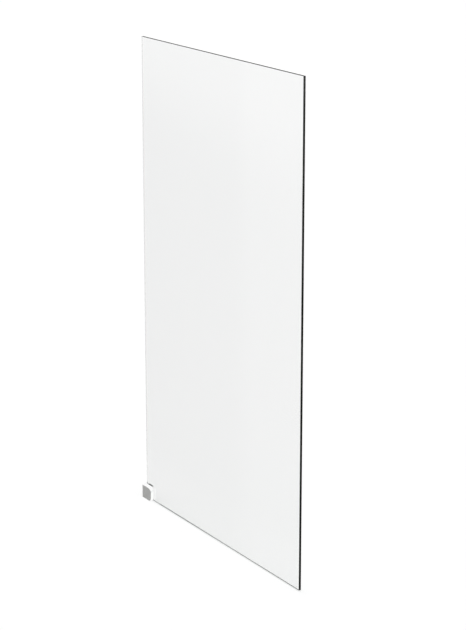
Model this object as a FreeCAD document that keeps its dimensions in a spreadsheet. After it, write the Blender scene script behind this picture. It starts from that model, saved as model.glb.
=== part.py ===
"""Frameless shower screen: one sheet of toughened glass, held at its lower wall corner by a clamp bracket.

The origin is on the wall, in the middle plane of the glass, at half the bracket's height. X runs along
the glass, away from the wall, the front of the screen faces -Y, and Z is up. All sizes are millimetres.
"""
import FreeCAD
import Part
import math
import os
import re
import Sketcher

SAME_PLACE = 1e-6
SIDE_DIRECTIONS = ("Horizontal", "Vertical", "Horizontal", "Vertical")

doc = FreeCAD.newDocument("shower_screen")

# Driving sizes
SIZES = {
    # Glass
    "glass_width": 1200,
    "glass_height": 2000,
    "glass_thickness": 10,
    "arris": 0.6,
    "wall_gap": 15,
    "notch_width": 36,
    "notch_height": 38,
    "notch_corner": 8,
    # Casting and cover
    "bracket_width": 72,
    "bracket_height": 55,
    "bracket_corner": 16,
    "bracket_rise": 24.5,
    "wall_clearance": 0.8,
    "front_depth": 14,
    "shoulder_rise": 8.4,
    "rim_gap": 0.1,
    "heel_gap": 1,
    "heel_corner": 3,
    "heel_edge": 1,
    "cover_thickness": 2,
    "cover_edge": 0.6,
    "cover_seam": 0.3,
    "peg_radius": 3,
    "peg_length": 5,
    "peg_edge": 8,
    "ring_section": 1,
    "ring_seat": 0.75,
    "push_fit": 0.06,
    # Clamp
    "front_gasket_thickness": 1.5,
    "front_gasket_margin": 3,
    "rear_gasket_thickness": 1.5,
    "gasket_inset": 1,
    "jaw_width": 40,
    "jaw_drop": 1.1,
    "jaw_corner": 4,
    "jaw_thickness": 6,
    "jaw_edge": 1.5,
    "liner_thickness": 3,
    "bolt_radius": 3,
    "bolt_head_radius": 5,
    "bolt_head_height": 4,
    "bolt_grip": 4.5,
    "bolt_edge": 8,
    "bolt_hole_gap": 0.3,
    "hex_across_flats": 4,
    "hex_depth": 2.5,
    "thread_gap": 0.05,
    "thread_tip_gap": 0.5,
    "washer_radius": 5.8,
    "washer_thickness": 1,
    "seat_wall": 2,
    # Wall plate
    "wall_gasket_thickness": 1,
    "plate_thickness": 4,
    "plate_height": 42,
    "plate_corner": 3,
    "shell_wall": 2.2,
    "tongue_thickness": 4,
    "tongue_height": 18,
    "tongue_gap": 0.15,
    "slot_end_gap": 2,
    "slot_wall": 1,
    "adjustment": 8,
    "screw_spacing": 29,
    "screw_hole_radius": 2.75,
    "screw_sink_radius": 5,
    "lock_radius": 2.5,
    "lock_recess": 6.5,
    "lock_inset": 4,
    "lock_hex_across_flats": 2.5,
    "lock_hex_depth": 3,
    "fit_gap": 0.05,
    "free_gap": 0.3,
}
sheet = doc.addObject("Spreadsheet::Sheet", "sizes")
for row, (alias, size) in enumerate(SIZES.items(), 1):
    sheet.set(f"A{row}", alias)
    sheet.set(f"B{row}", str(size))
    sheet.setAlias(f"B{row}", alias)
doc.recompute()


def in_sheet(text):
    """Spell an expression's size names out as cells of the sheet."""
    return re.sub(r"[a-z_]{2,}", lambda word: f"sizes.{word[0]}" if word[0] in SIZES else word[0], str(text))


def number(text):
    """The value of an expression of sizes."""
    return float(sheet.evalExpression(in_sheet(text)))


# Places along X, from the wall
plate_back = "wall_gasket_thickness"
plate_front = f"({plate_back} + plate_thickness)"
body_left = "wall_clearance"
body_right = f"({body_left} + bracket_width)"
body_middle = f"({body_left} + bracket_width / 2)"
glass_left = "wall_gap"
heel_width = f"({glass_left} - heel_gap - {body_left})"
notch_right = f"({glass_left} + notch_width)"
boss_right = f"({notch_right} - liner_thickness - 2 * fit_gap)"
bolt_x = f"({boss_right} - bolt_edge)"
counterbore_radius = "(washer_radius + bolt_hole_gap)"
tongue_tip = f"({bolt_x} - {counterbore_radius} - slot_end_gap - slot_wall)"
lock_x = [f"({plate_front} + lock_inset + lock_radius / 2)", f"({tongue_tip} - adjustment - lock_inset)"]

# Places along Z, from the bracket's middle
body_bottom = "(-bracket_height / 2)"
glass_bottom = "(-bracket_rise)"
notch_top = f"({glass_bottom} + notch_height)"
boss_top = f"({notch_top} - liner_thickness - 2 * fit_gap)"
bolt_z = {"upper": f"({boss_top} - bolt_edge)", "lower": f"({body_bottom} + bolt_edge)"}
shoulder_top = "(bracket_height / 2 + shoulder_rise)"
jaw_height = "(bracket_height + shoulder_rise - jaw_drop)"

# Places forward of the glass's middle plane, and behind it
glass_face = "(glass_thickness / 2)"
body_back = f"({glass_face} + rim_gap)"
gasket_seat = f"({glass_face} + front_gasket_thickness)"
head_seat = f"({gasket_seat} + seat_wall)"
washer_face = f"({head_seat} + washer_thickness)"
cover_front = f"({glass_face} + front_depth)"
body_front = f"({cover_front} - cover_thickness)"
jaw_face = f"({glass_face} + rear_gasket_thickness)"
jaw_back = f"({jaw_face} + jaw_thickness)"
tongue_middle = f"(({body_front} + {gasket_seat}) / 2)"
plate_fore = f"({body_front} - shell_wall - free_gap)"
plate_aft = f"({jaw_back} - shell_wall - free_gap)"
plate_width = f"({plate_fore} + {plate_aft})"
plate_middle = f"(({plate_aft} - {plate_fore}) / 2)"
liner_half = f"({glass_face} - free_gap)"

# Rings on the cover's pegs
peg_neck = "(peg_radius - ring_seat)"
ring_middle = f"({peg_neck} + ring_section / 2 + fit_gap)"
socket_radius = f"({ring_middle} + ring_section / 2 + push_fit)"
peg_left = f"({bolt_x} - {counterbore_radius} - {socket_radius} - shell_wall)"
peg_places = [
    (f"({body_right} - peg_edge)", "0"),
    (peg_left, "(bracket_height / 2 - peg_edge)"),
    (peg_left, "(peg_edge - bracket_height / 2)"),
]
neck_start = "(peg_length / 2)"
neck_length = "(ring_section + 2 * fit_gap)"

# Outlines that several pieces share
boss_size = (f"({boss_right} - {body_left})", f"({boss_top} - {body_bottom})")
boss_corner = "(notch_corner - liner_thickness - 2 * fit_gap)"
gasket_left = f"({glass_left} + gasket_inset)"
gasket_right = f"({body_right} - front_gasket_margin)"
gasket_bottom = f"({glass_bottom} + gasket_inset)"
gasket_top = f"({shoulder_top} - front_gasket_margin)"
front_gasket_size = (f"({gasket_right} - {gasket_left})", f"({gasket_top} - {gasket_bottom})")
front_gasket_middle = (f"({gasket_left} + {gasket_right}) / 2", f"({gasket_bottom} + {gasket_top}) / 2")
front_gasket_corner = "(bracket_corner - front_gasket_margin)"
jaw_middle = (f"({gasket_left} + jaw_width / 2)", f"({body_bottom} + {jaw_height} / 2)")


def new_body(label):
    body = doc.addObject("PartDesign::Body", label)
    body.Label = label
    return body


def attach(feature, body, plane, u, v, out):
    """Put a feature on an origin plane of its body, moved u and v in the plane and out along its normal."""
    role = f"{plane}_Plane"
    feature.AttachmentSupport = [(next(f for f in body.Origin.OriginFeatures if f.Role == role), "")]
    feature.MapMode = "FlatFace"
    for axis, place in zip("xyz", (u, v, out)):
        feature.setExpression(f"AttachmentOffset.Base.{axis}", in_sheet(place))


def new_sketch(body, plane, u, v, out):
    sketch = body.newObject("Sketcher::SketchObject", "sketch")
    attach(sketch, body, plane, u, v, out)
    return sketch


def dimension(sketch, name, size, *reference):
    """Add a named dimension, bound to the sheet."""
    index = sketch.addConstraint(Sketcher.Constraint(*reference, number(size)))
    sketch.renameConstraint(index, name)
    sketch.setExpression(f"Constraints.{name}", in_sheet(size))


def segment(sketch, start, end):
    return sketch.addGeometry(Part.LineSegment(FreeCAD.Vector(*start, 0), FreeCAD.Vector(*end, 0)), False)


def arc(sketch, centre, radius, first, last):
    circle = Part.Circle(FreeCAD.Vector(*centre, 0), FreeCAD.Vector(0, 0, 1), radius)
    return sketch.addGeometry(Part.ArcOfCircle(circle, math.radians(first), math.radians(last)), False)


def draw_circle(sketch, radius):
    """A circle about the sketch's origin."""
    geometry = Part.Circle(FreeCAD.Vector(), FreeCAD.Vector(0, 0, 1), number(radius))
    index = sketch.addGeometry(geometry, False)
    sketch.addConstraint(Sketcher.Constraint("Coincident", index, 3, -1, 1))
    dimension(sketch, f"radius_{index}", radius, "Radius", index)


def draw_plain(sketch, width, height):
    """A rectangle with square corners, about the sketch's origin."""
    a, b = number(width) / 2, number(height) / 2
    corners = [(-a, -b), (a, -b), (a, b), (-a, b)]
    sides = [segment(sketch, corners[i], corners[(i + 1) % 4]) for i in range(4)]
    for i, side in enumerate(sides):
        sketch.addConstraint(Sketcher.Constraint("Coincident", side, 2, sides[(i + 1) % 4], 1))
        sketch.addConstraint(Sketcher.Constraint(SIDE_DIRECTIONS[i], side))
    sketch.addConstraint(Sketcher.Constraint("Symmetric", sides[0], 1, sides[2], 1, -1, 1))
    dimension(sketch, "width", width, "DistanceX", sides[0], 1, sides[0], 2)
    dimension(sketch, "height", height, "DistanceY", sides[1], 1, sides[1], 2)


def draw_rectangle(sketch, width, height, corner):
    """A rectangle with round corners, about the sketch's origin."""
    a, b, r = number(width) / 2, number(height) / 2, number(corner)
    bottom = segment(sketch, (r - a, -b), (a - r, -b))
    right = segment(sketch, (a, r - b), (a, b - r))
    top = segment(sketch, (a - r, b), (r - a, b))
    left = segment(sketch, (-a, b - r), (-a, r - b))
    arcs = [
        arc(sketch, (a - r, r - b), r, -90, 0),
        arc(sketch, (a - r, b - r), r, 0, 90),
        arc(sketch, (r - a, b - r), r, 90, 180),
        arc(sketch, (r - a, r - b), r, 180, 270),
    ]
    sides = [bottom, right, top, left]
    for i, corner_arc in enumerate(arcs):
        sketch.addConstraint(Sketcher.Constraint("Tangent", sides[i], 2, corner_arc, 1))
        sketch.addConstraint(Sketcher.Constraint("Tangent", corner_arc, 2, sides[(i + 1) % 4], 1))
    for side, direction in zip(sides, SIDE_DIRECTIONS):
        sketch.addConstraint(Sketcher.Constraint(direction, side))
    for corner_arc in arcs[1:]:
        sketch.addConstraint(Sketcher.Constraint("Equal", arcs[0], corner_arc))
    sketch.addConstraint(Sketcher.Constraint("Symmetric", bottom, 1, top, 1, -1, 1))
    dimension(sketch, "width", width, "DistanceX", left, 1, right, 1)
    dimension(sketch, "height", height, "DistanceY", bottom, 1, top, 1)
    dimension(sketch, "corner", corner, "Radius", arcs[0])


def draw_tab(sketch, width, height, corner):
    """A rectangle about the sketch's origin, with its two right corners round."""
    a, b, r = number(width) / 2, number(height) / 2, number(corner)
    bottom = segment(sketch, (-a, -b), (a - r, -b))
    lower = arc(sketch, (a - r, r - b), r, -90, 0)
    right = segment(sketch, (a, r - b), (a, b - r))
    upper = arc(sketch, (a - r, b - r), r, 0, 90)
    top = segment(sketch, (a - r, b), (-a, b))
    left = segment(sketch, (-a, b), (-a, -b))
    for first, second in ((bottom, lower), (lower, right), (right, upper), (upper, top)):
        sketch.addConstraint(Sketcher.Constraint("Tangent", first, 2, second, 1))
    for first, second in ((top, left), (left, bottom)):
        sketch.addConstraint(Sketcher.Constraint("Coincident", first, 2, second, 1))
    for side, direction in ((bottom, "Horizontal"), (right, "Vertical"), (top, "Horizontal")):
        sketch.addConstraint(Sketcher.Constraint(direction, side))
    sketch.addConstraint(Sketcher.Constraint("Equal", lower, upper))
    sketch.addConstraint(Sketcher.Constraint("Symmetric", left, 1, left, 2, -1))
    dimension(sketch, "reach", f"({width}) / 2", "DistanceX", left, 1, -1, 1)
    dimension(sketch, "width", width, "DistanceX", left, 1, right, 1)
    dimension(sketch, "height", height, "DistanceY", left, 2, left, 1)
    dimension(sketch, "corner", corner, "Radius", lower)


def draw_corner(sketch, width, height, corner):
    """A rectangle up and right of the sketch's origin, with its upper right corner round."""
    a, b, r = number(width), number(height), number(corner)
    bottom = segment(sketch, (0, 0), (a, 0))
    right = segment(sketch, (a, 0), (a, b - r))
    round_corner = arc(sketch, (a - r, b - r), r, 0, 90)
    top = segment(sketch, (a - r, b), (0, b))
    left = segment(sketch, (0, b), (0, 0))
    for first, second in ((bottom, right), (top, left), (left, bottom)):
        sketch.addConstraint(Sketcher.Constraint("Coincident", first, 2, second, 1))
    sketch.addConstraint(Sketcher.Constraint("Tangent", right, 2, round_corner, 1))
    sketch.addConstraint(Sketcher.Constraint("Tangent", round_corner, 2, top, 1))
    for side, direction in zip((bottom, right, top, left), SIDE_DIRECTIONS):
        sketch.addConstraint(Sketcher.Constraint(direction, side))
    sketch.addConstraint(Sketcher.Constraint("Coincident", bottom, 1, -1, 1))
    dimension(sketch, "width", width, "DistanceX", bottom, 1, bottom, 2)
    dimension(sketch, "height", height, "DistanceY", left, 2, left, 1)
    dimension(sketch, "corner", corner, "Radius", round_corner)


def pad(body, sketch, length, flip=False):
    """Add material along the sketch's normal, or against it."""
    feature = body.newObject("PartDesign::Pad", "pad")
    feature.Profile = sketch
    feature.Reversed = flip
    feature.setExpression("Length", in_sheet(length))
    doc.recompute()
    return feature


def pocket(body, sketch, depth, flip=False):
    """Cut against the sketch's normal, or along it."""
    before = body.Shape.Volume
    feature = body.newObject("PartDesign::Pocket", "pocket")
    feature.Profile = sketch
    feature.Reversed = flip
    feature.setExpression("Length", in_sheet(depth))
    doc.recompute()
    if not body.Shape.Volume < before:
        raise RuntimeError(f"a pocket of {body.Label} cuts nothing")
    return feature


def drill(body, plane, u, v, out, radius, depth, flip=False):
    sketch = new_sketch(body, plane, u, v, out)
    draw_circle(sketch, radius)
    return pocket(body, sketch, depth, flip)


def disc(body, plane, u, v, out, radius, length, flip=False):
    sketch = new_sketch(body, plane, u, v, out)
    draw_circle(sketch, radius)
    return pad(body, sketch, length, flip)


def hex_socket(body, plane, u, v, out, across_flats, depth):
    prism = body.newObject("PartDesign::SubtractivePrism", "hex_socket")
    attach(prism, body, plane, u, v, out)
    prism.Polygon = 6
    prism.setExpression("Circumradius", in_sheet(f"{across_flats} / sqrt(3)"))
    prism.setExpression("Height", in_sheet(depth))
    doc.recompute()


def edges_at(feature, axis, place):
    """Names of the edges that lie wholly in the plane where the axis has this value."""
    level = number(place)
    names = []
    for index, edge in enumerate(feature.Shape.Edges, 1):
        box = edge.BoundBox
        low, high = getattr(box, f"{axis}Min"), getattr(box, f"{axis}Max")
        if abs(low - level) < SAME_PLACE and abs(high - level) < SAME_PLACE:
            names.append(f"Edge{index}")
    return names


def dress(body, kind, feature, names, size):
    """Fillet or chamfer named edges of the body's last feature."""
    edge_feature = body.newObject(f"PartDesign::{kind}", kind.lower())
    edge_feature.Base = (feature, names)
    edge_feature.setExpression("Radius" if kind == "Fillet" else "Size", in_sheet(size))
    doc.recompute()
    return edge_feature


def group(label, members):
    compound = doc.addObject("Part::Compound", label)
    compound.Label = label
    compound.Links = members
    return compound


def make_glass():
    body = new_body("glass_panel")
    middle_x = f"({glass_left} + glass_width / 2)"
    middle_z = f"({glass_bottom} + glass_height / 2)"
    sheet_sketch = new_sketch(body, "XZ", middle_x, middle_z, f"(-{glass_face})")
    draw_plain(sheet_sketch, "glass_width", "glass_height")
    pad(body, sheet_sketch, "glass_thickness")
    notch = new_sketch(body, "XZ", glass_left, glass_bottom, glass_face)
    draw_corner(notch, "notch_width", "notch_height", "notch_corner")
    cut = pocket(body, notch, "glass_thickness")
    edges = edges_at(cut, "Y", f"(-{glass_face})") + edges_at(cut, "Y", glass_face)
    dress(body, "Chamfer", cut, edges, "arris")
    return body


def make_clamp_body():
    """Casting: front plate with a sloping shoulder, heel beside the wall and boss in the notch."""
    body = new_body("clamp_body")
    wide = new_sketch(body, "XZ", body_middle, "shoulder_rise / 2", body_back)
    draw_tab(wide, "bracket_width", "bracket_height + shoulder_rise", "bracket_corner")
    narrow = new_sketch(body, "XZ", body_middle, "0", body_front)
    draw_tab(narrow, "bracket_width", "bracket_height", "bracket_corner")
    loft = body.newObject("PartDesign::AdditiveLoft", "front_plate")
    loft.Profile = wide
    loft.Sections = [narrow]
    loft.Ruled = True
    doc.recompute()

    seat = new_sketch(body, "XZ", *front_gasket_middle, body_back)
    width, height = (f"{size} + 2 * free_gap" for size in front_gasket_size)
    draw_tab(seat, width, height, f"{front_gasket_corner} + free_gap")
    pocket(body, seat, "front_gasket_thickness - rim_gap", flip=True)

    boss = new_sketch(body, "XZ", body_left, body_bottom, gasket_seat)
    draw_corner(boss, *boss_size, boss_corner)
    pad(body, boss, f"{gasket_seat} + {liner_half}", flip=True)
    heel = new_sketch(body, "XZ", f"{body_left} + {heel_width} / 2", "0", gasket_seat)
    draw_rectangle(heel, heel_width, "bracket_height", "heel_corner")
    heel_block = pad(body, heel, f"{gasket_seat} + {jaw_back}", flip=True)
    dress(body, "Fillet", heel_block, edges_at(heel_block, "Y", jaw_back), "heel_edge")

    plate_room = new_sketch(body, "YZ", plate_middle, "0", body_left)
    draw_rectangle(
        plate_room, f"{plate_width} + 2 * free_gap", "plate_height + 2 * free_gap", "plate_corner + free_gap"
    )
    pocket(body, plate_room, f"{plate_front} + free_gap - {body_left}", flip=True)
    slot = new_sketch(body, "YZ", f"-{tongue_middle}", "0", body_left)
    draw_plain(slot, "tongue_thickness + 2 * tongue_gap", "tongue_height + 2 * tongue_gap")
    pocket(body, slot, f"{tongue_tip} + slot_end_gap - {body_left}", flip=True)

    for height in bolt_z.values():
        drill(body, "XZ", bolt_x, height, body_front, counterbore_radius, f"{body_front} - {head_seat}")
        shank_hole = f"{head_seat} + {glass_face}"
        drill(body, "XZ", bolt_x, height, head_seat, "bolt_radius + bolt_hole_gap", shank_hole)
    for place in lock_x:
        depth = "(bracket_height - tongue_height) / 2"
        drill(body, "XY", place, f"-{tongue_middle}", body_bottom, "lock_radius + fit_gap", depth, flip=True)
    for u, v in peg_places:
        drill(body, "XZ", u, v, body_front, socket_radius, "peg_length + free_gap")
    return body


def make_front_gasket():
    body = new_body("front_gasket")
    sketch = new_sketch(body, "XZ", *front_gasket_middle, glass_face)
    draw_tab(sketch, *front_gasket_size, front_gasket_corner)
    pad(body, sketch, "front_gasket_thickness")
    notch = new_sketch(body, "XZ", glass_left, glass_bottom, gasket_seat)
    draw_corner(notch, "notch_width", "notch_height", "notch_corner")
    pocket(body, notch, "front_gasket_thickness")
    return body


def make_notch_liner():
    body = new_body("notch_liner")
    outer = new_sketch(body, "XZ", glass_left, glass_bottom, f"(-{liner_half})")
    draw_corner(outer, "notch_width - fit_gap", "notch_height - fit_gap", "notch_corner - fit_gap")
    pad(body, outer, f"2 * {liner_half}")
    inner = new_sketch(body, "XZ", body_left, body_bottom, liner_half)
    width, height = boss_size
    draw_corner(inner, f"{width} + fit_gap", f"{height} + fit_gap", f"{boss_corner} + fit_gap")
    pocket(body, inner, f"2 * {liner_half}")
    return body


def make_rear_jaw():
    body = new_body("rear_jaw")
    sketch = new_sketch(body, "XZ", *jaw_middle, f"(-{jaw_face})")
    draw_rectangle(sketch, "jaw_width", jaw_height, "jaw_corner")
    plate = pad(body, sketch, "jaw_thickness", flip=True)
    dress(body, "Fillet", plate, edges_at(plate, "Y", jaw_back), "jaw_edge")
    for height in bolt_z.values():
        radius = "bolt_radius + thread_gap"
        drill(body, "XZ", bolt_x, height, f"(-{jaw_face})", radius, "bolt_grip + thread_tip_gap")
    return body


def make_rear_gasket():
    body = new_body("rear_gasket")
    sketch = new_sketch(body, "XZ", *jaw_middle, f"(-{glass_face})")
    draw_rectangle(sketch, "jaw_width", jaw_height, "jaw_corner")
    pad(body, sketch, "rear_gasket_thickness", flip=True)
    for height in bolt_z.values():
        radius = "bolt_radius + bolt_hole_gap"
        drill(body, "XZ", bolt_x, height, f"(-{glass_face})", radius, "rear_gasket_thickness")
    return body


def make_clamp_bolt(label, height):
    body = new_body(label)
    disc(body, "XZ", bolt_x, height, washer_face, "bolt_head_radius", "bolt_head_height")
    shank = f"{washer_face} + {jaw_face} + bolt_grip"
    disc(body, "XZ", bolt_x, height, washer_face, "bolt_radius", shank, flip=True)
    socket_floor = f"{washer_face} + bolt_head_height - hex_depth"
    hex_socket(body, "XZ", bolt_x, height, socket_floor, "hex_across_flats", "hex_depth")
    return body


def make_washers():
    washers = []
    for name, height in bolt_z.items():
        body = new_body(f"{name}_washer")
        sketch = new_sketch(body, "XZ", bolt_x, height, head_seat)
        draw_circle(sketch, "washer_radius")
        draw_circle(sketch, "bolt_radius + bolt_hole_gap")
        pad(body, sketch, "washer_thickness")
        washers.append(body)
    return group("clamp_washers", washers)


def make_front_cover():
    body = new_body("front_cover")
    sketch = new_sketch(body, "XZ", body_middle, "0", body_front)
    draw_tab(sketch, "bracket_width", "bracket_height", "bracket_corner")
    plate = pad(body, sketch, "cover_thickness")
    rounded = dress(body, "Fillet", plate, edges_at(plate, "Y", f"-{cover_front}"), "cover_edge")
    dress(body, "Chamfer", rounded, edges_at(rounded, "Y", f"-{body_front}"), "cover_seam")
    for u, v in peg_places:
        neck_end = f"{neck_start} + {neck_length}"
        disc(body, "XZ", u, v, body_front, "peg_radius", neck_start, flip=True)
        disc(body, "XZ", u, v, f"{body_front} - {neck_start}", peg_neck, neck_length, flip=True)
        tip = f"peg_length - ({neck_end})"
        disc(body, "XZ", u, v, f"{body_front} - ({neck_end})", "peg_radius", tip, flip=True)
    return body


def make_cover_rings():
    rings = []
    for u, v in peg_places:
        ring = doc.addObject("Part::Torus", "ring")
        ring.Placement = FreeCAD.Placement(FreeCAD.Vector(), FreeCAD.Rotation(FreeCAD.Vector(1, 0, 0), 90))
        ring.setExpression("Radius1", in_sheet(ring_middle))
        ring.setExpression("Radius2", in_sheet("ring_section / 2"))
        forward = f"{body_front} - {neck_start} - {neck_length} / 2"
        for axis, place in zip("xyz", (u, f"-({forward})", v)):
            ring.setExpression(f"Placement.Base.{axis}", in_sheet(place))
        rings.append(ring)
    return group("cover_o_rings", rings)


def make_wall_plate():
    body = new_body("wall_plate")
    outline = new_sketch(body, "YZ", plate_middle, "0", plate_back)
    draw_rectangle(outline, plate_width, "plate_height", "plate_corner")
    pad(body, outline, "plate_thickness")
    tongue = new_sketch(body, "YZ", f"-{tongue_middle}", "0", plate_front)
    draw_plain(tongue, "tongue_thickness", "tongue_height")
    pad(body, tongue, f"{tongue_tip} - {plate_front}")
    for side in (-1, 1):
        height = f"{side} * screw_spacing / 2"
        hole = drill(body, "YZ", plate_middle, height, plate_front, "screw_hole_radius", "plate_thickness")
        across = 2 * number("screw_hole_radius")
        rim = [
            name
            for name in edges_at(hole, "X", plate_front)
            if abs(hole.Shape.getElement(name).BoundBox.ZLength - across) < SAME_PLACE
        ]
        dress(body, "Chamfer", hole, rim, "screw_sink_radius - screw_hole_radius")
    return body


def make_wall_gasket():
    body = new_body("wall_gasket")
    outline = new_sketch(body, "YZ", plate_middle, "0", "0")
    draw_rectangle(outline, plate_width, "plate_height", "plate_corner")
    pad(body, outline, "wall_gasket_thickness")
    for side in (-1, 1):
        height = f"{side} * screw_spacing / 2"
        drill(body, "YZ", plate_middle, height, plate_back, "screw_hole_radius", "wall_gasket_thickness")
    return body


def make_lock_screws():
    screws = []
    for index, place in enumerate(lock_x, 1):
        body = new_body(f"lock_screw_{index}")
        end = f"({body_bottom} + lock_recess)"
        length = f"-{end} - tongue_height / 2"
        disc(body, "XY", place, f"-{tongue_middle}", end, "lock_radius", length)
        hex_socket(body, "XY", place, f"-{tongue_middle}", end, "lock_hex_across_flats", "lock_hex_depth")
        screws.append(body)
    return group("lock_screws", screws)


nodes = [
    make_glass(),
    make_clamp_body(),
    make_front_cover(),
    make_cover_rings(),
    make_front_gasket(),
    make_notch_liner(),
    make_rear_jaw(),
    make_rear_gasket(),
    make_clamp_bolt("upper_clamp_bolt", bolt_z["upper"]),
    make_clamp_bolt("lower_clamp_bolt", bolt_z["lower"]),
    make_washers(),
    make_wall_plate(),
    make_wall_gasket(),
    make_lock_screws(),
]
doc.recompute()

for item in doc.Objects:
    if {"Invalid", "Error"} & set(item.State):
        raise RuntimeError(f"{item.Label} failed: {item.State}")
for node in nodes:
    if node.Shape.isNull() or not node.Shape.isValid():
        raise RuntimeError(f"{node.Label} has no valid shape")

os.makedirs("parts", exist_ok=True)
for node in nodes:
    node.Shape.exportStep(f"parts/{node.Label}.step")
    box = node.Shape.BoundBox
    sizes = f"{box.XLength:.1f} x {box.YLength:.1f} x {box.ZLength:.1f} mm"
    low_corner = f"{box.XMin:.2f} {box.YMin:.2f} {box.ZMin:.2f}"
    print(f"{node.Label}: {len(node.Shape.Solids)} solid(s), {sizes}, low corner {low_corner}")
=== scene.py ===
"""Studio scene of a frameless shower screen: clear glass with polished edges and a small clamp bracket."""
import math
from collections import namedtuple

import bpy
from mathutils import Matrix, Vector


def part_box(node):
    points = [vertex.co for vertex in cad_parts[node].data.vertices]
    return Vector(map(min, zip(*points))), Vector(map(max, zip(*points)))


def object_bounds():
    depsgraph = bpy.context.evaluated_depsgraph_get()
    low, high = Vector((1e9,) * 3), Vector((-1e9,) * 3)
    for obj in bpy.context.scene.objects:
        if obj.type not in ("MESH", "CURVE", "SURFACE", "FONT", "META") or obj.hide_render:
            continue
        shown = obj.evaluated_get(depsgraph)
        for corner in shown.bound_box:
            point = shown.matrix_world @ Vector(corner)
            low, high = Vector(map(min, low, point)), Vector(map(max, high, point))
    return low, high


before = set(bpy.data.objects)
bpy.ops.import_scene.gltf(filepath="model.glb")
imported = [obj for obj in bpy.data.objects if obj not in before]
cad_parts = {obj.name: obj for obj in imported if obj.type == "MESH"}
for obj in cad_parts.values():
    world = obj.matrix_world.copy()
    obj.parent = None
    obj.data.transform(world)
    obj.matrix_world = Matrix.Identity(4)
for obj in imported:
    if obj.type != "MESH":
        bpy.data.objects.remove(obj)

cad_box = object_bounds()
glass_low, glass_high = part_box("glass_panel")

WHITE = (1.0, 1.0, 1.0, 1.0)

# The middle of a noise texture's range
NOISE_LOW = 0.3
NOISE_HIGH = 0.7

# Depths that part one kind of light path from another. Ray Depth counts bounces at a surface, and one more
# in the world: straight through both faces of the glass it is 2 on the floor and 3 in the world.
OUTSIDE_GLASS = 0.5
FIRST_REFLECTION = 1.5
STRAIGHT_TO_FLOOR = 2.5
STRAIGHT_TO_WORLD = 3.5


def feed(tree, socket, source):
    """Link another node's output to a socket, or set the socket to a plain value."""
    if isinstance(source, bpy.types.NodeSocket):
        tree.links.new(source, socket)
    else:
        socket.default_value = source


def node(tree, kind, inputs=None, **settings):
    """Add a node with its settings, then feed its inputs."""
    new = tree.nodes.new(kind)
    for key, value in settings.items():
        setattr(new, key, value)
    for key, source in (inputs or {}).items():
        feed(tree, new.inputs[key], source)
    return new


def calculate(tree, operation, *sources):
    """The result of a Math node."""
    return node(tree, "ShaderNodeMath", dict(enumerate(sources)), operation=operation).outputs["Value"]


def remap(tree, source, start, end, low=0.0, high=1.0, smooth=False):
    """A value that goes from low at start to high at end, and stays there beyond."""
    inputs = {"Value": source, "From Min": start, "From Max": end, "To Min": low, "To Max": high}
    curve = "SMOOTHSTEP" if smooth else "LINEAR"
    return node(tree, "ShaderNodeMapRange", inputs, interpolation_type=curve).outputs["Result"]


def mix(tree, kind, factor, first, second):
    """A number (FLOAT) or a colour (RGBA) between two others."""
    inputs = {"Factor": factor, "A": first, "B": second}
    return node(tree, "ShaderNodeMix", inputs, data_type=kind).outputs["Result"]


def axes_of(tree, vector):
    """The X, Y and Z of a vector."""
    return node(tree, "ShaderNodeSeparateXYZ", {"Vector": vector}).outputs


def object_place(tree, scale=(1.0, 1.0, 1.0)):
    """Object coordinates, scaled along each axis."""
    place = node(tree, "ShaderNodeTexCoord").outputs["Object"]
    return node(tree, "ShaderNodeMapping", {"Vector": place, "Scale": scale}).outputs["Vector"]


def noise(tree, scale, detail, roughness=0.5):
    """Noise whose features are 1 / scale metres along each axis."""
    inputs = {"Vector": object_place(tree, scale), "Scale": 1.0, "Detail": detail, "Roughness": roughness}
    return node(tree, "ShaderNodeTexNoise", inputs).outputs["Fac"]


def spread(tree, source, low, high):
    """Map the middle of a noise's range to low and high."""
    return remap(tree, source, NOISE_LOW, NOISE_HIGH, low, high)


def bump(tree, height, strength, depth):
    """A normal bent by a height, depth in metres."""
    inputs = {"Height": height, "Strength": strength, "Distance": depth}
    return node(tree, "ShaderNodeBump", inputs).outputs["Normal"]


def front_facing(tree, side, face):
    """1 on faces that look forward or back, 0 on the sides around them."""
    normal = node(tree, "ShaderNodeNewGeometry").outputs["True Normal"]
    squareness = calculate(tree, "ABSOLUTE", axes_of(tree, normal)["Y"])
    return remap(tree, squareness, side, face)


def uneven(tree, factor, colour, darkest):
    """A colour that varies from its own value down to a share of it."""
    dark = [darkest * part for part in colour]
    return mix(tree, "RGBA", factor, (*dark, 1.0), (*colour, 1.0))


def new_material(name):
    """A material, its node tree and the output that is the tree's only node."""
    material = bpy.data.materials.new(name)
    material.use_nodes = True
    tree = material.node_tree
    tree.nodes.clear()
    return material, tree, tree.nodes.new("ShaderNodeOutputMaterial")


METAL_CLOUD = (90.0, 90.0, 90.0)
METAL_CLOUD_GLOSS = 0.015
METAL_DARKEST = 0.97
METAL_BUMP = 0.3


def metal(name, colour, roughness, grain, grain_depth, side_roughness=None):
    """Metal with a fine grain, faint cloudy patches in its gloss and, if asked, smoother sides."""
    material, tree, output = new_material(name)
    lines = noise(tree, grain, detail=3.0)
    cloud = noise(tree, METAL_CLOUD, detail=2.0)
    patches = spread(tree, cloud, -METAL_CLOUD_GLOSS, METAL_CLOUD_GLOSS)
    gloss = calculate(tree, "ADD", spread(tree, lines, *roughness), patches)
    if side_roughness is not None:
        gloss = mix(tree, "FLOAT", front_facing(tree, side=0.85, face=0.97), side_roughness, gloss)
    inputs = {
        "Base Color": uneven(tree, lines, colour, METAL_DARKEST),
        "Metallic": 1.0,
        "Roughness": gloss,
        "Normal": bump(tree, lines, METAL_BUMP, grain_depth),
    }
    shader = node(tree, "ShaderNodeBsdfPrincipled", inputs)
    feed(tree, output.inputs["Surface"], shader.outputs["BSDF"])
    return material


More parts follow.
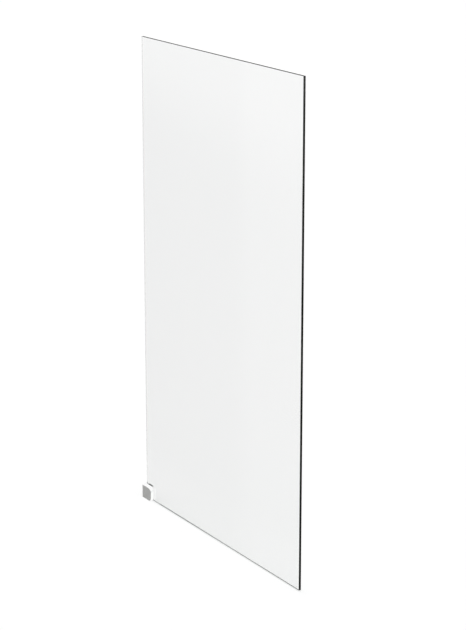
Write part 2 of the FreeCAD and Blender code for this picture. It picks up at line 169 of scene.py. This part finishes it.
SOFT_CLOUD = (60.0, 60.0, 60.0)
SOFT_DARKEST = 0.85
SOFT_BUMP = 0.4


def soft(name, colour, roughness, grain, grain_depth):
    """Rubber or nylon with a fine moulded texture and a slightly uneven colour."""
    material, tree, output = new_material(name)
    texture = noise(tree, grain, detail=4.0, roughness=0.6)
    cloud = noise(tree, SOFT_CLOUD, detail=2.0)
    inputs = {
        "Base Color": uneven(tree, cloud, colour, SOFT_DARKEST),
        "Roughness": spread(tree, texture, *roughness),
        "IOR": 1.5,
        "Normal": bump(tree, texture, SOFT_BUMP, grain_depth),
    }
    shader = node(tree, "ShaderNodeBsdfPrincipled", inputs)
    feed(tree, output.inputs["Surface"], shader.outputs["BSDF"])
    return material


GLASS_COLOUR = (0.95, 0.95, 0.95, 1.0)
BODY_TINT = (0.62, 0.86, 0.78, 1.0)
BODY_DENSITY = 1.5
GRINDING_LINES = (2500.0, 25.0, 25.0)
GRINDING_ROUGHNESS = (0.01, 0.03)
LIGHT_THROUGH_FACE = (0.985, 0.99, 0.985, 1.0)
LIGHT_THROUGH_EDGE = (0.1, 0.14, 0.12, 1.0)


def clear_glass():
    """Toughened glass: flat clear faces, polished edges with faint grinding lines, and a green body tint.

    Light on its way to other surfaces passes straight through, and is dimmed at the edges.
    What metal mirrors passes straight through too, without the dimming.
    """
    material, tree, output = new_material("clear_glass")
    edge = calculate(tree, "SUBTRACT", 1.0, front_facing(tree, side=0.6, face=0.95))
    grinding = spread(tree, noise(tree, GRINDING_LINES, detail=2.0), *GRINDING_ROUGHNESS)
    inputs = {
        "Base Color": GLASS_COLOUR,
        "Roughness": calculate(tree, "MULTIPLY", edge, grinding),
        "IOR": 1.5,
        "Transmission Weight": 1.0,
    }
    shader = node(tree, "ShaderNodeBsdfPrincipled", inputs)

    path = node(tree, "ShaderNodeLightPath").outputs
    lighting = calculate(tree, "MAXIMUM", path["Is Shadow Ray"], path["Is Diffuse Ray"])
    dimmed = calculate(tree, "MULTIPLY", edge, lighting)
    shade = mix(tree, "RGBA", dimmed, LIGHT_THROUGH_FACE, LIGHT_THROUGH_EDGE)
    passing = node(tree, "ShaderNodeBsdfTransparent", {"Color": shade})
    outside = calculate(tree, "LESS_THAN", path["Transmission Depth"], OUTSIDE_GLASS)
    mirrored = calculate(tree, "MULTIPLY", path["Glossy Depth"], outside)
    clear = calculate(tree, "MAXIMUM", lighting, mirrored)
    inputs = {"Fac": clear, 1: shader.outputs["BSDF"], 2: passing.outputs["BSDF"]}
    choice = node(tree, "ShaderNodeMixShader", inputs)
    feed(tree, output.inputs["Surface"], choice.outputs["Shader"])

    body = node(tree, "ShaderNodeVolumeAbsorption", {"Color": BODY_TINT, "Density": BODY_DENSITY})
    feed(tree, output.inputs["Volume"], body.outputs["Volume"])
    return material


bright = metal(
    "bright_metal",
    colour=(0.985, 0.985, 0.985),
    roughness=(0.06, 0.12),
    grain=(400.0, 400.0, 400.0),
    grain_depth=0.000002,
)
satin = metal(
    "satin_metal",
    colour=(0.91, 0.91, 0.898),
    roughness=(0.67, 0.77),
    grain=(60.0, 60.0, 4000.0),
    grain_depth=0.00001,
    side_roughness=0.12,
)
steel = metal(
    "plain_steel",
    colour=(0.62, 0.62, 0.625),
    roughness=(0.2, 0.34),
    grain=(900.0, 900.0, 900.0),
    grain_depth=0.000005,
)
rubber = soft(
    "dark_rubber",
    colour=(0.035, 0.035, 0.036),
    roughness=(0.55, 0.75),
    grain=(2200.0, 2200.0, 2200.0),
    grain_depth=0.00004,
)
nylon = soft(
    "white_nylon",
    colour=(0.8, 0.8, 0.78),
    roughness=(0.38, 0.5),
    grain=(1600.0, 1600.0, 1600.0),
    grain_depth=0.00002,
)
glass = clear_glass()

FINISH = {
    "glass_panel": glass,
    "clamp_body": bright,
    "front_cover": satin,
    "rear_jaw": satin,
    "wall_plate": steel,
    "upper_clamp_bolt": steel,
    "lower_clamp_bolt": steel,
    "clamp_washers": steel,
    "lock_screws": steel,
    "front_gasket": rubber,
    "rear_gasket": rubber,
    "wall_gasket": rubber,
    "cover_o_rings": rubber,
    "notch_liner": nylon,
}
for name, material in FINISH.items():
    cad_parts[name].material_slots[0].material = material


# The set: a white floor just under the object, and cards on it that only reflections see
FLOOR_GAP = 0.0005
FLOOR_LEVEL = cad_box[0][2] - FLOOR_GAP
FLOOR_REACH = 25.0
FLOOR_COLOUR = (0.5, 0.5, 0.5, 1.0)
FLOOR_LIFT = 0.56
FLOOR_LIFT_TURNED = 0.42
OPEN_FLOOR = 1.06
NEAR_GLASS = 0.1
FAR_FROM_GLASS = 0.4
CARD_LIFT = 0.0002
LOWER_CARD_LIFT = 0.0001


def plane(name, low, high, level, material):
    """A flat rectangle of the set, not part of the object."""
    mesh = bpy.data.meshes.new(name)
    corners = [(low[0], low[1]), (high[0], low[1]), (high[0], high[1]), (low[0], high[1])]
    mesh.from_pydata([(x, y, level) for x, y in corners], [], [(0, 1, 2, 3)])
    mesh.materials.append(material)
    piece = bpy.data.objects.new(name, mesh)
    bpy.context.scene.collection.objects.link(piece)
    return piece


def reflection_card(name, low, high, material, lift=CARD_LIFT):
    """A card on the floor that only reflections see."""
    card = plane(name, low, high, FLOOR_LEVEL + lift, material)
    for ray in ("camera", "diffuse", "transmission", "volume_scatter", "shadow"):
        setattr(card, f"visible_{ray}", False)


def floor_material():
    """White floor that keeps shadows, and reads as the white background in glass and metal too.

    Light that leaves the glass after a turn at an edge sees the floor a little darker away from the glass.
    """
    material, tree, output = new_material("floor")
    path = node(tree, "ShaderNodeLightPath").outputs
    seen = calculate(tree, "MAXIMUM", path["Is Camera Ray"], path["Is Glossy Ray"])
    seen = calculate(tree, "MAXIMUM", seen, path["Is Transmission Ray"])
    away = calculate(tree, "ABSOLUTE", axes_of(tree, object_place(tree))["Y"])
    far = remap(tree, away, NEAR_GLASS, FAR_FROM_GLASS, smooth=True)
    turned = calculate(tree, "GREATER_THAN", path["Ray Depth"], STRAIGHT_TO_FLOOR)
    shaded = calculate(tree, "MULTIPLY", far, turned)
    strength = remap(tree, shaded, 0.0, 1.0, FLOOR_LIFT, FLOOR_LIFT_TURNED)
    level = calculate(tree, "MULTIPLY", seen, strength)
    lift = node(tree, "ShaderNodeEmission", {"Color": WHITE, "Strength": level})
    diffuse = node(tree, "ShaderNodeBsdfDiffuse", {"Color": FLOOR_COLOUR})
    both = node(tree, "ShaderNodeAddShader", {0: diffuse.outputs["BSDF"], 1: lift.outputs["Emission"]})
    feed(tree, output.inputs["Surface"], both.outputs["Shader"])
    return material


Ramp = namedtuple("Ramp", "slope start end rise")


def card_material(name, tone, ramps, white_start, white_end):
    """Grey card: a tone with ramps along slope * X - Y, fading to the floor's white along X.

    Only first reflections see the grey: light that has turned more than once finds white.
    """
    material, tree, output = new_material(name)
    axes = axes_of(tree, object_place(tree))
    grey = tone
    for ramp in ramps:
        slant = calculate(tree, "MULTIPLY", axes["X"], ramp.slope)
        across = calculate(tree, "SUBTRACT", slant, axes["Y"])
        step = remap(tree, across, ramp.start, ramp.end, high=ramp.rise, smooth=True)
        grey = calculate(tree, "ADD", step, grey)
    fade = remap(tree, axes["X"], white_start, white_end, smooth=True)
    depth = node(tree, "ShaderNodeLightPath").outputs["Ray Depth"]
    later = calculate(tree, "GREATER_THAN", depth, FIRST_REFLECTION)
    strength = mix(tree, "FLOAT", calculate(tree, "MAXIMUM", fade, later), grey, 1.0)
    light = node(tree, "ShaderNodeEmission", {"Color": WHITE, "Strength": strength})
    feed(tree, output.inputs["Surface"], light.outputs["Emission"])
    return material


def open_floor_material():
    """White as bright as the floor is away from the object's shadow."""
    material, tree, output = new_material("bracket_card")
    light = node(tree, "ShaderNodeEmission", {"Color": WHITE, "Strength": OPEN_FLOOR})
    feed(tree, output.inputs["Surface"], light.outputs["Emission"])
    return material


plane("floor", (-FLOOR_REACH, -FLOOR_REACH), (FLOOR_REACH, FLOOR_REACH), FLOOR_LEVEL, floor_material())

# The bracket's front, its side away from the wall, and the place beyond which the front card meets the glass
BRACKET_MARGIN = 0.04
bracket_front = cad_box[0][1]
bracket_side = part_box("clamp_body")[1][0]
bracket_end = bracket_side + BRACKET_MARGIN

# Grey in front of the glass, paler further out
FRONT_FAR_END = -10.0
FRONT_LEFT = -16.0
FRONT_RIGHT = 3.0
FRONT_RAMPS = [
    Ramp(slope=0.62, start=0.42, end=0.58, rise=0.17),
    Ramp(slope=0.2, start=2.4, end=4.2, rise=0.42),
    Ramp(slope=0.0, start=5.0, end=10.0, rise=0.31),
]
front_tone = card_material("front_card", tone=0.1, ramps=FRONT_RAMPS, white_start=1.3, white_end=FRONT_RIGHT)
reflection_card("front_card", (bracket_end, FRONT_FAR_END), (FRONT_RIGHT, glass_low[1]), front_tone)
wall_corner = (FRONT_LEFT, FRONT_FAR_END)
reflection_card("front_card_by_bracket", wall_corner, (bracket_end, bracket_front), front_tone)

# Grey behind the glass, paler further out
REAR_FAR_END = 8.0
REAR_LEFT = 0.4
REAR_RIGHT = 12.0
REAR_RAMPS = [
    Ramp(slope=0.0, start=-8.0, end=0.0, rise=-0.35),
    Ramp(slope=0.0, start=-4.0, end=-8.0, rise=0.4),
]
rear_tone = card_material("rear_card", tone=0.6, ramps=REAR_RAMPS, white_start=1.0, white_end=REAR_LEFT)
reflection_card("rear_card", (REAR_LEFT, glass_high[1]), (REAR_RIGHT, REAR_FAR_END), rear_tone)

# White beside the bracket, which its bright side mirrors, under the other cards where they overlap
BRACKET_CARD_OVERLAP = 0.02
BRACKET_CARD_RIGHT = 0.4
BRACKET_CARD_FAR_END = 0.25
card_low = (bracket_side - BRACKET_CARD_OVERLAP, bracket_front)
card_high = (BRACKET_CARD_RIGHT, BRACKET_CARD_FAR_END)
reflection_card("bracket_card", card_low, card_high, open_floor_material(), LOWER_CARD_LIFT)

# The flag's borders in a unit direction, its foot and top along Z and its side along Y, and its brightness
FLAG_FOOT = (0.04, 0.12)
FLAG_TOP = (0.42, 0.55)
FLAG_SIDE = (0.1, 0.35)
FLAG_LEVEL = 0.06


def studio_world():
    """White studio with a dark flag low behind the set, seen in edges and metal but not straight through."""
    world = bpy.data.worlds.new("studio")
    world.use_nodes = True
    tree = world.node_tree
    axes = axes_of(tree, node(tree, "ShaderNodeTexCoord").outputs["Generated"])
    foot = remap(tree, axes["Z"], *FLAG_FOOT, smooth=True)
    top = remap(tree, axes["Z"], *FLAG_TOP, low=1.0, high=0.0, smooth=True)
    behind = remap(tree, axes["Y"], *FLAG_SIDE, smooth=True)
    flag = calculate(tree, "MULTIPLY", calculate(tree, "MULTIPLY", foot, top), behind)

    path = node(tree, "ShaderNodeLightPath").outputs
    early = calculate(tree, "LESS_THAN", path["Ray Depth"], STRAIGHT_TO_WORLD)
    through = calculate(tree, "MULTIPLY", path["Is Transmission Ray"], early)
    straight = calculate(tree, "MAXIMUM", path["Is Camera Ray"], through)
    shade = calculate(tree, "MULTIPLY", flag, calculate(tree, "SUBTRACT", 1.0, straight))
    backdrop = tree.nodes["Background"]
    feed(tree, backdrop.inputs["Color"], WHITE)
    feed(tree, backdrop.inputs["Strength"], remap(tree, shade, 0.0, 1.0, 1.0, FLAG_LEVEL))
    return world


bpy.context.scene.world = studio_world()

# Camera at the photograph's viewpoint: metres along the glass from its lower wall corner, from its middle
# plane, and up from that corner, then degrees down and to the left
CAMERA_ALONG = 7.3424
CAMERA_OUT = -4.0744
CAMERA_UP = 3.1775
CAMERA_PITCH = 15.711
CAMERA_TURN = 58.452
CAMERA_LENS = 117.51
CAMERA_SENSOR = 36.0
lens = bpy.data.cameras.new("camera")
lens.lens = CAMERA_LENS
lens.sensor_width = CAMERA_SENSOR
camera = bpy.data.objects.new("camera", lens)
camera.location = (glass_low[0] + CAMERA_ALONG, CAMERA_OUT, glass_low[2] + CAMERA_UP)
camera.rotation_euler = (math.radians(90.0 - CAMERA_PITCH), 0.0, math.radians(CAMERA_TURN))
bpy.context.scene.collection.objects.link(camera)
bpy.context.scene.camera = camera
bpy.context.scene.view_settings.view_transform = "Standard"
